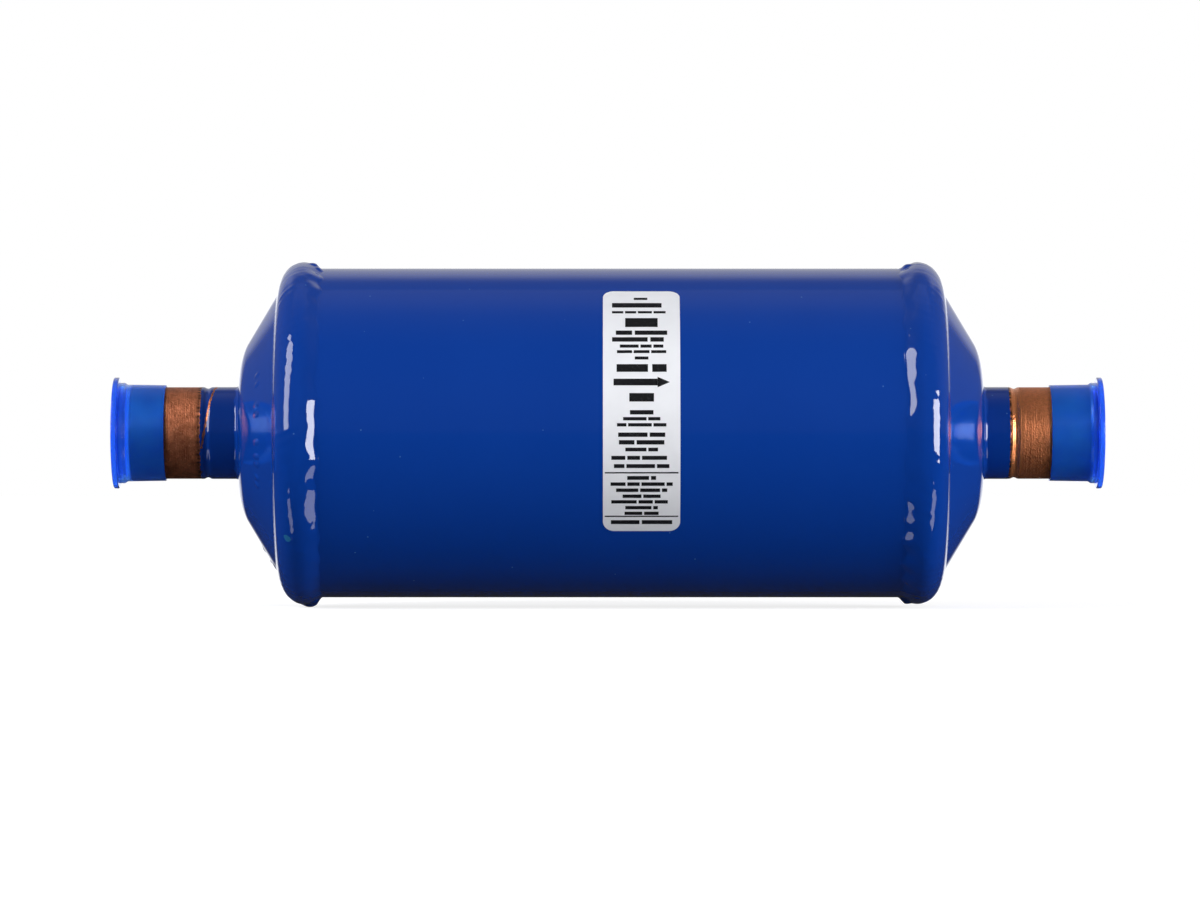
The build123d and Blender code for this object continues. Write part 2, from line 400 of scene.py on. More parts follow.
# Metres
CHIP_PLACE = (-0.0857, -0.0357, -0.0279)
CHIP_RADIUS = 0.00155
CHIP_RAGGEDNESS = 0.0009
WIRE_PITCH = 0.0005

# Cells
DUST_REACH = 0.030
HAIR_REACH = 0.012


def paint_colour(finish):
    """Blue enamel: cloudy in thickness, with one ragged chip at the inlet end, a few dust specks and
    short hairline marks."""
    cloud = finish.noise(22.0, 3.0)
    base = finish.mix(finish.step(cloud, 0.35, 0.8) * 0.35, PAINT, PAINT_THIN)
    specks = finish.cells(150.0) < DUST_REACH
    hairs = finish.cells(120.0, stretch=(0.12, 1.0, 0.6)) < HAIR_REACH
    distance = {"operation": "DISTANCE"}
    from_chip = finish.node("ShaderNodeVectorMath", distance, finish.place(), CHIP_PLACE, out="Value")
    chip = from_chip + finish.noise(700.0, 2.0) * CHIP_RAGGEDNESS < CHIP_RADIUS
    base = finish.mix(chip * 0.8, base, PAINT_CHIP)
    return finish.mix(specks * 0.5 + hairs * 0.35, base, PAINT_DUST)


def paint_relief(finish):
    """Orange peel: fine waves over a slow roll."""
    roll = finish.relief(finish.noise(70.0, 1.0), 0.00004)
    return finish.relief(finish.noise(520.0, 1.5), 0.000004, below=roll)


def blue_paint():
    """Glossy enamel over everything but the copper and the caps."""
    finish = Finish("blue_enamel")
    return finish.surface(
        Base_Color=paint_colour(finish),
        Roughness=finish.noise(60.0, 2.0) * 0.03 + 0.035,
        Normal=paint_relief(finish),
    )


def lines_round(finish, waves_to_metre, waves_across):
    """Noise drawn out into lines round the axis: many waves to the metre along it, few across it."""
    return finish.noise(1.0, stretch=(waves_to_metre, waves_across, waves_across))


def copper(finish):
    """Colour and roughness of handled copper: mottled, with dull lines round it and bright grains."""
    mottle = finish.noise(420.0, 4.0, 0.65)
    patch = finish.noise(90.0, 2.0)
    lines = lines_round(finish, 2600.0, 25.0)
    grain = finish.noise(1900.0, 2.0, 0.6)
    tone = finish.mix(finish.step(mottle * 0.6 + patch * 0.4, 0.40, 0.64), COPPER_DULL, COPPER_BARE)
    tone = finish.mix(finish.step(lines, 0.55, 0.8) * 0.45, tone, COPPER_DULL)
    tone = finish.mix(finish.step(grain, 0.58, 0.75) * 0.6, tone, COPPER_GLINT)
    return tone, mottle * 0.20 + lines * 0.1


def stub_finish(name, dullness, painted_sheen, deep):
    """Copper with paint on its neck, where the piece's own paint number is above a half. The metal's
    roughness starts from dullness. The sheen argument is a painted highlight: how far its grains go to
    bright copper, which makes the outlet copper brighter. deep is painted shade: how far the paint
    goes to a darker blue, which darkens the shadowed inlet neck."""
    finish = Finish(name)
    metal, roughness = copper(finish)
    covered = finish.step(finish.attribute("paint"), 0.45, 0.55)
    polished, dirt_and_shade = finish.attribute("polish"), finish.attribute("dirt_and_shade")
    grains = finish.step(finish.noise(1500.0, 3.0, 0.6), 0.36, 0.62) * 0.3 + 0.7
    # Painted highlight: the grains go towards bright copper, only on the outlet stub.
    metal = finish.mix(grains * painted_sheen, metal, COPPER_BRIGHT)
    metal = finish.mix(polished, metal, COPPER_BRIGHT)
    # Dirt and painted shade darken the copper beside the paint's edge.
    metal = finish.mix(dirt_and_shade, metal, COPPER_DARK)
    pits = finish.relief(finish.noise(2100.0, 2.0), 0.00014)
    metal_shader = finish.node(
        "ShaderNodeBsdfPrincipled",
        Base_Color=metal,
        Metallic=0.9 - polished * 0.1,
        Roughness=(roughness + dullness) * (1 - polished * 0.55),
        Normal=finish.relief(lines_round(finish, 4000.0, 30.0), 0.00010, below=pits),
    )
    # Thick patches, dirt and painted shade at the paint's edge, and painted shade on the whole inlet neck
    # darken the paint.
    thick = finish.noise(40.0, 1.0) * 0.2 + dirt_and_shade * 0.8 + deep
    paint_shader = finish.node(
        "ShaderNodeBsdfPrincipled",
        Base_Color=finish.mix(thick.math("MINIMUM", 1.0), paint_colour(finish), PAINT_THICK_AND_SHADE),
        Roughness=0.06,
        Normal=finish.relief(finish.noise(300.0, 1.0), 0.00001),
    )
    mixed = finish.node("ShaderNodeMixShader", None, covered, metal_shader, paint_shader)
    finish.node("ShaderNodeOutputMaterial", None, mixed)
    return finish.owner


def cap_plastic():
    """Soft translucent polyethylene. Its own milk number says how milky it is, and its own depth
    number how deep a blue its clear part shows, most in the thick flange."""
    finish = Finish("blue_polythene")
    cloud = finish.noise(110.0, 2.0)
    relief = finish.relief(cloud, 0.00006)
    thin = finish.mix(cloud, *POLYTHENE_THIN)
    deep = finish.mix(cloud, *POLYTHENE_DEEP)
    clear = finish.node(
        "ShaderNodeBsdfPrincipled",
        Base_Color=finish.mix(finish.attribute("depth"), thin, deep),
        Roughness=cloud * 0.10 + 0.18,
        IOR=1.2,
        Transmission_Weight=1.0,
        Coat_Weight=0.8,
        Coat_Roughness=0.12,
        Normal=relief,
    )
    milky = finish.node(
        "ShaderNodeBsdfPrincipled",
        Base_Color=finish.mix(cloud, *POLYTHENE_MILKY),
        Metallic=0.6,
        Roughness=cloud * 0.10 + 0.36,
        Normal=finish.relief(finish.noise(500.0, 2.0), 0.00003, relief),
    )
    mixed = finish.node("ShaderNodeMixShader", None, finish.attribute("milk"), clear, milky)
    finish.node("ShaderNodeOutputMaterial", None, mixed)
    return finish.owner


def label_film():
    """Matt silver film: a rough metal sheen under a faint cloud."""
    finish = Finish("silver_film")
    cloud = finish.noise(160.0, 3.0, 0.6)
    return finish.surface(
        Base_Color=finish.mix(cloud, *SILVER),
        Metallic=0.52,
        Roughness=cloud * 0.06 + 0.70,
        Normal=finish.relief(finish.noise(900.0, 2.0), 0.00001),
    )


def label_ink():
    """Black print, thin in places."""
    finish = Finish("black_ink")
    wear = finish.noise(1400.0, 2.0)
    return finish.surface(
        Base_Color=finish.mix(finish.step(wear, 0.5, 0.75), *INK),
        Roughness=wear * 0.2 + 0.5,
        Specular_IOR_Level=0.2,
    )


def inner_steel():
    """Bright pressed steel with rolling lines."""
    finish = Finish("bright_steel")
    lines = finish.noise(1.0, 3.0, 0.6, stretch=(80.0, 80.0, 2400.0))
    return finish.surface(
        Base_Color=finish.mix(lines, *STEEL),
        Metallic=1.0,
        Roughness=lines * 0.2 + 0.25,
        Normal=finish.relief(lines, 0.00001),
    )


def wire_cloth():
    """Woven wire: two sets of sine waves, with painted highlight on the bright crossings and painted shade
    between them.
    """
    finish = Finish("wire_cloth")
    pitch = TURN / WIRE_PITCH
    warp = (finish.axis("Y") * pitch).math("SINE")
    weft = (finish.axis("Z") * pitch).math("SINE")
    weave = warp * weft * 0.5 + 0.5
    return finish.surface(
        Base_Color=finish.mix(weave, *WIRE_SHADED_TO_LIT),
        Metallic=1.0,
        Roughness=weave * 0.2 + 0.25,
        Normal=finish.relief(weave, 0.0001),
    )


def fibre_pad():
    """Felted glass fibre."""
    finish = Finish("glass_fibre")
    strands = finish.noise(900.0, 5.0, 0.7, stretch=(1.0, 0.35, 1.0))
    return finish.surface(
        Base_Color=finish.mix(strands, *FIBRE),
        Roughness=strands * 0.1 + 0.85,
        Normal=finish.relief(strands, 0.0004),
    )


def desiccant_beads():
    """Packed beads about 2 mm across, in clay and white tones, with painted shade in the gaps between them.
    """
    finish = Finish("desiccant_beads")
    gap = finish.cells(480.0)
    tint = finish.cells(480.0, out="Color")
    shade = finish.node("ShaderNodeSeparateXYZ", None, tint, out="X")
    bead = finish.mix(shade, *BEADS)
    return finish.surface(
        # Painted shade: dark between the beads.
        Base_Color=finish.mix(finish.step(gap, 0.35, 0.75), bead, BEAD_GAP_SHADE),
        Roughness=shade * 0.1 + 0.8,
        Normal=finish.relief(1 - gap, 0.0008),
    )


# ---------------------------------------------------------------- pieces

# Faces round the axis
SHELL_SEGMENTS = 512
WELD_SEGMENTS = 900
STUB_SEGMENTS = 512
SMALL_SEGMENTS = 256


def give(piece, material, body, slot, *nodes):
    """Finishes a piece, hangs it on its body and lets it stand for its CAD nodes."""
    piece.data.materials.clear()
    piece.data.materials.append(material)
    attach(piece, body)
    if nodes:
        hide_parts(*nodes)


def shell():
    """The body tube: a plain cylinder, finely divided so that its outline is smooth."""
    inner = SHELL_RADIUS - SHELL_WALL
    outline = [(-TUBE_END, SHELL_RADIUS), (TUBE_END, SHELL_RADIUS), (TUBE_END, inner), (-TUBE_END, inner)]
    return lathe("body_tube", spaced(np.array(outline), 8 * MM), 1, SHELL_SEGMENTS)


def flank_slope():
    """How far the dome's flank runs along the axis for each step of radius."""
    return math.tan(FLANK_ANGLE)


def dome_corners(offset=0.0):
    """The dome's two sharp corners, (x, radius), with its surface moved inwards by the offset."""
    half_turn = math.tan(FLANK_ANGLE / 2)
    nose = (NOSE_X - offset, NOSE_FLAT + NOSE_ROUND * half_turn - offset * half_turn)
    skirt = SKIRT_RADIUS - offset
    return nose, (nose[0] - (skirt - nose[1]) * flank_slope(), skirt)


def flank_x(radius):
    """Where along the axis the dome's flank has that radius."""
    nose, _ = dome_corners()
    return nose[0] - (radius - nose[1]) * flank_slope()


def flank_radius(x):
    """The radius of the dome's flank at x."""
    nose, _ = dome_corners()
    return nose[1] + (NOSE_X - x) / flank_slope()


PIP_RADIUS = 30.4 * MM
PIP_ANGLES = np.radians([-27, -23, -16, -12, -5, 9, 14, 25, 30])
PIP_SIZE = 0.85 * MM
PIP_HEIGHT = 0.4 * MM
PIP_STRETCH = 1.9
# Spatter: angle in degrees, then radius from the axis, size and height in mm.
SPATTER = (
    (-82, 31.5, 1.3, 0.35),
    (-86, 34.5, 1.0, 0.40),
    (-91, 33.0, 1.5, 0.45),
    (-95, 36.0, 0.9, 0.35),
    (-78, 36.5, 1.1, 0.3),
)


def dome_pips(x, angle):
    """Height of the marks under the inlet dome's paint: a row of flat-topped pips, longer up the
    flank than round it, and bell-shaped spatter near the bottom."""
    along = (x - flank_x(PIP_RADIUS)) / math.sin(FLANK_ANGLE)
    round_it = turn_between(angle[..., None], PIP_ANGLES) * PIP_RADIUS
    distance = np.hypot(along[..., None] / PIP_STRETCH, round_it)
    raised = PIP_HEIGHT * smooth_step(1 - distance / PIP_SIZE, 0.0, 0.5).sum(-1)
    for degrees, radius, size, height in SPATTER:
        along = (x - flank_x(radius * MM)) / math.sin(FLANK_ANGLE)
        arc = turn_between(angle, math.radians(degrees)) * radius * MM
        raised = raised + height * MM * bump(np.hypot(along, arc), 0, size * MM)
    return raised


def dome(name, side, swell=None):
    """Pressed end cap: flat nose, round, flank, knuckle and skirt, with its wall inside."""
    nose, knuckle = dome_corners()
    inner_nose, inner_knuckle = dome_corners(DOME_WALL)
    outer = [(SKIRT_BACK, SKIRT_RADIUS), knuckle, nose, (NOSE_X, STUB_RADIUS)]
    skirt_end = (SKIRT_BACK, SKIRT_RADIUS - DOME_WALL)
    inner = [(inner_nose[0], STUB_RADIUS), inner_nose, inner_knuckle, skirt_end]
    outside = spaced(rounded(outer, [KNUCKLE_ROUND, NOSE_ROUND], steps=20), 0.5 * MM)
    inside = rounded(inner, [NOSE_ROUND - DOME_WALL, KNUCKLE_ROUND - DOME_WALL], steps=12)
    return lathe(name, np.concatenate([outside, inside]), side, SHELL_SEGMENTS, swell)


# The welds' section: how gently the toe starts, how far the quarter ellipse turns and how deep under
# the flank it ends, the curve that fills the crease, and the hidden root.
TOE_EASE = 0.006
WELD_SWING = math.radians(85)
WELD_TUCK = 0.4 * MM
FILL_REACH = 0.45 * MM
FILL_BACK = 0.02 * MM
ROOT_SETBACK = 0.4 * MM
ROOT_DEPTHS = (0.8 * MM, 1.6 * MM, 1.2 * MM, 0.6 * MM)


def quadratic(q, start, corner, end):
    """The curve (1 - q)^2 start + 2 q (1 - q) corner + q^2 end."""
    return (1 - q) ** 2 * start + 2 * q * (1 - q) * corner + q**2 * end


def weld_outline(height, toe, count):
    """Weld section for arrays of height and toe width: a toe that rises as a sine of an eased share
    of its width, a quarter ellipse down to near the dome, and a quadratic curve that fills the crease
    to the dome's flank. Returns x, radius and how many of the rows can be seen."""
    crest_x = TUBE_END - WELD_CREST_SETBACK
    front_radius = flank_radius(WELD_FRONT) - WELD_TUCK
    q = np.linspace(0, 1, count)[:, None]
    toe_x = crest_x - toe * (1 - q)
    eased_start, eased_end = math.sqrt(TOE_EASE), math.sqrt(1 + TOE_EASE)
    eased = (np.sqrt(q**2 + TOE_EASE) - eased_start) / (eased_end - eased_start)
    toe_r = SHELL_RADIUS + height * np.sin(eased * math.pi / 2)
    swing = q[1:] * WELD_SWING
    nose_x = crest_x + (WELD_FRONT - crest_x) * np.sin(swing)
    nose_r = front_radius + (SHELL_RADIUS + height - front_radius) * np.cos(swing)
    fill_end = WELD_FRONT + FILL_REACH
    corner = WELD_FRONT - FILL_BACK
    fill_x = quadratic(q[1:], nose_x[-1:], corner, fill_end)
    fill_r = quadratic(q[1:], nose_r[-1:], flank_radius(corner), flank_radius(fill_end))
    root_x = np.array([WELD_FRONT, TUBE_END, crest_x, WELD_TOE])[:, None] - ROOT_SETBACK
    root_r = np.array([front_radius, SHELL_RADIUS, SHELL_RADIUS, SHELL_RADIUS])[:, None]
    root_r = root_r - np.array(ROOT_DEPTHS)[:, None]
    x = np.concatenate([part + 0 * height for part in (toe_x, nose_x, fill_x, root_x)])
    r = np.concatenate([part + 0 * height for part in (toe_r, nose_r, fill_r, root_r)])
    return x, r, 3 * count - 2


HEIGHT_WANDER = 0.12 * MM
TOE_WANDER = 0.55 * MM
RIPPLE_HEIGHT = 0.026 * MM
# Radians that a ripple turns from row to row
RIPPLE_SLANT = 0.004
PIMPLES = 260
# The least and the most of a pimple's angle, place along the axis and size
PIMPLE_LOW = (-math.pi, 77.5 * MM, 0.5 * MM)
PIMPLE_HIGH = (math.pi, 88 * MM, 1.3 * MM)
# Shares of a pimple's or a drop's size
PIMPLE_HEIGHT = 0.055
DROP_SPAN = 1.2
DROP_BLEND = 0.25 * MM

DOWN = math.radians(-90)
UP = math.radians(90)
# Paint drops: angle, place along the axis, size and outermost radius
INLET_DROPS = (
    (DOWN + 0.02, 81.3 * MM, 2.9 * MM, RUN_RADIUS - 0.02 * MM),
    (DOWN + 0.09, 80.2 * MM, 2.2 * MM, 46.3 * MM),
    (UP - 0.14, 80.4 * MM, 2.6 * MM, 46.2 * MM),
    (UP - 0.20, 78.4 * MM, 2.2 * MM, 45.5 * MM),
)
OUTLET_DROPS = (
    (DOWN + 0.05, 79.8 * MM, 2.4 * MM, 46.2 * MM),
    (UP - 0.16, 80.0 * MM, 2.6 * MM, 46.0 * MM),
)


def weld(name, side, seed, crest, drops):
    """Girth weld under thick paint: its height and toe wander round the part, weld ripples show
    faintly, small pimples are bell curves, and balls of run paint are blended in with a soft
    maximum, w log(exp(a / w) + exp(b / w))."""
    angle = np.linspace(0, TURN, WELD_SEGMENTS, endpoint=False)[None, :]
    height = crest - SHELL_RADIUS - HEIGHT_WANDER * (1 + waves(angle, seed, 2, 9))
    toe = (TUBE_END - WELD_CREST_SETBACK - WELD_TOE) - TOE_WANDER * (1.2 + waves(angle, seed + 1, 3, 40))
    x, r, outside = weld_outline(height, toe, 20)
    shown = np.zeros((len(x), 1))
    shown[:outside] = np.sin(np.linspace(0, math.pi, outside))[:, None]
    slant = RIPPLE_SLANT * np.arange(len(x))[:, None]
    r = r + shown * RIPPLE_HEIGHT * waves(angle + slant, seed + 2, 50, 120)
    rng = np.random.default_rng(seed + 3)
    for spot_angle, spot_x, size in rng.uniform(PIMPLE_LOW, PIMPLE_HIGH, (PIMPLES, 3)):
        arc = turn_between(angle, spot_angle) * SHELL_RADIUS
        r = r + shown * PIMPLE_HEIGHT * size * bump(np.hypot(arc, x - spot_x), 0, size)
    r = np.minimum(r, WELD_RADIUS)
    for drop_angle, drop_x, size, top in drops:
        arc = turn_between(angle, drop_angle) * SHELL_RADIUS
        ball = top - size + np.sqrt(np.clip(size**2 - (x - drop_x) ** 2 - arc**2, 0, None))
        raised = DROP_BLEND * np.logaddexp(r / DROP_BLEND, ball / DROP_BLEND)
        near = np.hypot(x - drop_x, arc) < size * DROP_SPAN
        r = r + np.minimum(shown * 3, 1) * near * (raised - r)
    r = np.minimum(r, max([WELD_RADIUS, *(top for _, _, _, top in drops)]))
    points = round_the_axis(x * side, r, angle)
    if side < 0:
        points = points[::-1]
    return put_mesh(name, points, grid_faces(len(x), WELD_SEGMENTS, True, True), sharp_degrees=60)


STUB_END_ROUND = 0.3 * MM
STUB_SKIN = 0.62 * MM
PAINT_EDGE_BLEND = 0.12 * MM
SCRATCH_X = 109.3 * MM
SCRATCH_SLANT = 2.0 * MM
SCRATCH_FROM, SCRATCH_TO = -0.35, 1.6
SCRATCH_GAIN = 1.6


def scratch(x, angle, seed):
    """1 on a scratch that slants across the neck's upper half and is of uneven width, 0 off it."""
    line = SCRATCH_X - SCRATCH_SLANT * angle + 0.06 * MM * waves(angle, seed, 5, 40)
    width = (0.24 + 0.08 * waves(angle, seed + 1, 8, 50)) * MM
    cut = bump(x, line, np.maximum(width, 0.06 * MM))
    return np.minimum(SCRATCH_GAIN * cut * (angle > SCRATCH_FROM) * (angle < SCRATCH_TO), 1)


def stub(name, side, edge_x, edge_rough, seed, polish, dirt_and_shade, dirt_and_shade_width, scratched=False):
    """Copper stub: neck, rolled stop and socket. The stop is a squared cosine, a groove outside and a
    ridge inside. Paint covers the neck up to edge_x, where its edge wanders by edge_rough.

    Its points carry three numbers. Paint is 1 under paint. Polish is on the rolled groove and from
    it to the paint. The third is dirt and painted shade: a bell curve beside the paint's edge, broken up
    by waves, that darkens the copper and the paint there."""
    stop_x = STUB_END - SOCKET_DEPTH - STOP_WIDTH / 2
    bore = STUB_RADIUS - STUB_WALL
    corners = [(STUB_START, STUB_RADIUS), (STUB_END, STUB_RADIUS), (STUB_END, bore), (STUB_START, bore)]
    arc_steps = 5
    ends = rounded(corners, [STUB_END_ROUND, STUB_END_ROUND], arc_steps)
    outer_wall, inner_wall = ends[:arc_steps + 1], ends[arc_steps + 1:]
    outline = np.concatenate([spaced(outer_wall, 0.27 * MM), spaced(inner_wall, 0.8 * MM)])
    outside = outline[:, 1] > STUB_RADIUS - STUB_WALL / 2

    def roll(x):
        return np.cos(np.clip((x - stop_x) / (STOP_WIDTH / 2), -1, 1) * math.pi / 2) ** 2

    def edge_at(angle):
        return edge_x + edge_rough * waves(angle, seed, 5, 60)

    def bare_at(x, angle):
        edge = edge_at(angle)
        past = smooth_step(x, edge - PAINT_EDGE_BLEND, edge + PAINT_EDGE_BLEND)
        return np.maximum(past, scratch(x, angle, seed + 4)) if scratched else past

    outline[:, 1] -= roll(outline[:, 0]) * np.where(outside, STOP_GROOVE, STOP_RIDGE)
    angle = np.linspace(0, TURN, STUB_SEGMENTS, endpoint=False)[None, :]
    painted = (1 - bare_at(outline[:, :1], turn_between(angle, 0))) * outside[:, None]
    radius = outline[:, 1:] - PAINT_DEPTH * (1 - painted) * outside[:, None]
    points = round_the_axis(outline[:, :1] * side, radius, angle)
    if side < 0:
        points = points[::-1]
    piece = put_mesh(name, points, grid_faces(len(outline), STUB_SEGMENTS, True, True))

    def on_outer_wall(y, z):
        return np.hypot(y, z) > STUB_RADIUS - STUB_SKIN

    def paint_at(x, y, z):
        return (1 - bare_at(np.abs(x), np.arctan2(z, -y))) * on_outer_wall(y, z)

    def polish_at(x, y, z):
        x = np.abs(x)
        past_paint = smooth_step(x, edge_x, edge_x + 0.3 * MM)
        past_groove = smooth_step(x, stop_x + 1.0 * MM, stop_x + 1.4 * MM)
        return polish * np.maximum(past_paint * (1 - past_groove), roll(x)) * on_outer_wall(y, z)

    # Dirt and painted shade: a dark band beside the paint's edge.
    def dirt_and_shade_at(x, y, z):
        angle = np.arctan2(z, -y)
        middle = edge_at(angle) + dirt_and_shade_width * 0.66
        dirt = (1 + waves(angle, seed + 1, 8, 70)) / 2
        return np.clip(dirt_and_shade * bump(np.abs(x), middle, dirt_and_shade_width) * dirt, 0, 1)

    number(piece, "paint", paint_at)
    number(piece, "polish", polish_at)
    number(piece, "dirt_and_shade", dirt_and_shade_at)
    return piece


BRAZE_ROOT = 0.2 * MM
BRAZE_WANDER = 0.05 * MM


def braze(name, side):
    """Hollow fillet between the dome's nose and the stub: a quarter circle about its outer corner."""
    q = np.linspace(0, math.pi / 2, 12)
    front, top = NOSE_X + BRAZE_LEG, STUB_RADIUS + BRAZE_LEG
    hollow = np.stack([front - BRAZE_LEG * np.cos(q), top - BRAZE_LEG * np.sin(q)], -1)
    back, bottom = NOSE_X - BRAZE_ROOT, STUB_RADIUS - BRAZE_ROOT
    outline = np.concatenate([hollow, [(front, bottom), (back, bottom), (back, top)]])

    def wander(x, angle):
        return BRAZE_WANDER * (waves(angle, 5, 4, 20) - 1) * (x > NOSE_X)

    return lathe(name, outline, side, SMALL_SEGMENTS, wander)


CAP_CORNER_ROUNDS = np.array([0.3, 0.1, 0.1, 0.6, 0.6, 0.2, 0.35, 0.35]) * MM
MILK_ON_COPPER = 0.60
MILK_PAST_COPPER = 0.02
MILK_INSIDE_END = 0.5


def shipping_cap(name, side, face):
    """Moulded cap: closed end with a flange, a step ring and a thin sleeve, open towards the body.

    Its points carry two numbers. Milk is high where the sleeve lies on copper and on the inside of
    the closed end. Depth is 1 on the flange."""
    bore = STUB_RADIUS + CAP_FIT
    sleeve = bore + CAP_WALL
    step = sleeve + CAP_STEP
    flange = face - CAP_FLANGE
    mouth = face - CAP_LENGTH
    corners = [
        (face - CAP_END, 0),
        (face - CAP_END, bore),
        (mouth, bore),
        (mouth, sleeve - CAP_DRAFT),
        (flange - CAP_STEP_LENGTH - CAP_FLARE, sleeve),
        (flange - CAP_STEP_LENGTH + CAP_FLARE, step),
        (flange, step),
        (flange, CAP_FLANGE_RADIUS),
        (face, CAP_FLANGE_RADIUS),
        (face, 0),
    ]
    outline = spaced(rounded(corners, CAP_CORNER_ROUNDS, 5), 0.8 * MM)
    piece = lathe(name, outline, side, SMALL_SEGMENTS, closed=False)

    def milk_at(x, y, z):
        x = np.abs(x)
        past_copper = smooth_step(x, STUB_END - 0.2 * MM, STUB_END + 0.2 * MM)
        inside_end = (np.abs(x - face + CAP_END) < 0.05 * MM) * (np.hypot(y, z) < bore - 0.4 * MM)
        along = MILK_ON_COPPER - (MILK_ON_COPPER - MILK_PAST_COPPER) * past_copper
        return along + MILK_INSIDE_END * inside_end

    def depth_at(x, y, z):
        return smooth_step(np.abs(x), flange - 0.8 * MM, flange)

    number(piece, "milk", milk_at)
    number(piece, "depth", depth_at)
    return piece


def on_label(along, around, lift=0.0):
    """A place on the label: along the axis, and around the tube from the label's middle, upwards."""
    angle = LABEL_TILT + around / SHELL_RADIUS
    return round_the_axis(along, SHELL_RADIUS + LABEL_THICKNESS + lift, angle)


def label_frame():
    """The label's middle along the axis and its half width."""
    low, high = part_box("flow_label")
    return (low.x + high.x) / 2, (high.x - low.x) / 2


def label_face(name):
    """Round-cornered sheet on the tube: each row's half width loses R - sqrt(R^2 - d^2) in a corner,
    where d is how far the row lies beyond the corner's centre."""
    middle, half_width = label_frame()
    half_length = LABEL_LENGTH / 2
    corner_rows = half_length - LABEL_CORNER * (1 - np.sin(np.linspace(0, math.pi / 2, 14)))
    around = np.unique(np.concatenate([-corner_rows, np.linspace(-33, 33, 67) * MM, corner_rows]))
    beyond = np.clip(np.abs(around) - (half_length - LABEL_CORNER), 0, LABEL_CORNER)
    width = half_width - LABEL_CORNER + np.sqrt(LABEL_CORNER**2 - beyond**2)
    along = middle + np.linspace(-1, 1, 25)[:, None] * width[None, :]
    return slab(name, on_label(along, around[None, :]), on_label(along, around[None, :], -LABEL_THICKNESS))


# The print, in mm. Each row of bars that stand for words has its place around the tube from the
# label's middle, its height and its width.
PRINT_ROWS = (
    (32.6, 1.1, 4.0), (29.8, 2.1, 15.6), (27.0, 1.0, 15.6), (23.2, 3.6, 8.6), (19.7, 1.6, 13.6),
    (17.5, 1.6, 15.6), (15.4, 1.1, 11.5), (13.7, 1.0, 13.0), (11.8, 1.0, 3.6), (8.9, 2.5, 13.2),
    (0.8, 2.6, 6.5), (-3.2, 1.3, 6.2), (-4.9, 1.0, 9.8), (-6.5, 1.0, 13.0), (-9.1, 1.3, 12.4),
    (-11.1, 1.3, 12.0), (-13.0, 1.1, 8.6), (-15.2, 1.2, 16.0), (-17.4, 1.2, 14.6),
    (-20.6, 1.2, 7.6), (-22.3, 1.1, 16.4), (-24.0, 1.1, 13.5), (-25.7, 1.1, 10.0), (-27.3, 1.1, 16.0),
    (-29.0, 1.1, 8.6), (-30.7, 1.1, 9.0), (-33.4, 1.4, 16.2),
)
# In heights of its row, how short and how long a bar is, half its height and the gap after it
BAR_SHORT, BAR_LONG, BAR_HALF, BAR_GAP = 2.2, 6.5, 0.44, 0.45
RULES = (-19.2, -31.6)
RULE_HALF = 0.19
PRINT_MARGIN = 0.5
PRINT_SEED = 12
ARROW_AT = 4.95
ARROW_LENGTH = 14.8
ARROW_SHAFT = 0.92
ARROW_HEAD = 1.45
ARROW_HEAD_LENGTH = 3.2
ARROW_TIP = 0.02
ARROW_GAP = 0.01
INK_LIFT = 0.015 * MM


def print_bars():
    """Bars (left, right, bottom, top) in mm from the label's middle: each row is a few bars with gaps."""
    rng = np.random.default_rng(PRINT_SEED)
    bars = []
    for place, height, width in PRINT_ROWS:
        left = -width / 2
        while left < width / 2 - height:
            right = min(left + height * rng.uniform(BAR_SHORT, BAR_LONG), width / 2)
            bars.append((left, right, place - height * BAR_HALF, place + height * BAR_HALF))
            left = right + height * BAR_GAP
    return np.array(bars)


def label_print(name):
    """The arrow, two rules and the bars, each a closed film of ink just above the label, on a grid
    from left to right and from low to high. The arrow's head narrows evenly to a blunt tip."""
    middle, half_width = label_frame()
    edge = half_width / MM - PRINT_MARGIN
    rules = np.array([(-edge, edge, place - RULE_HALF, place + RULE_HALF) for place in RULES])
    head_start = ARROW_LENGTH / 2 - ARROW_HEAD_LENGTH
    shaft = np.array([
        (-ARROW_LENGTH / 2, head_start - ARROW_GAP, ARROW_AT - ARROW_SHAFT, ARROW_AT + ARROW_SHAFT),
    ])
    left, right, low, high = np.concatenate([print_bars(), rules, shaft]).T[..., None, None]
    share = np.linspace(0, 1, 7)
    rows, columns = np.meshgrid(share, share, indexing="ij")
    x = left + (right - left) * rows
    y = low + (high - low) * columns
    head_x = head_start + ARROW_HEAD_LENGTH * rows
    head_y = ARROW_AT + (1 - rows * (1 - ARROW_TIP)) * ARROW_HEAD * (2 * columns - 1)
    along = np.concatenate([x, head_x[None]]) * MM + middle
    around = np.concatenate([y, head_y[None]]) * MM
    return slab(name, on_label(along, around, INK_LIFT), on_label(along, around))


SPRING_WIRE = 1.25 * MM
SPRING_SMALL_COIL = 14.87 * MM
SPRING_TURNS = 5


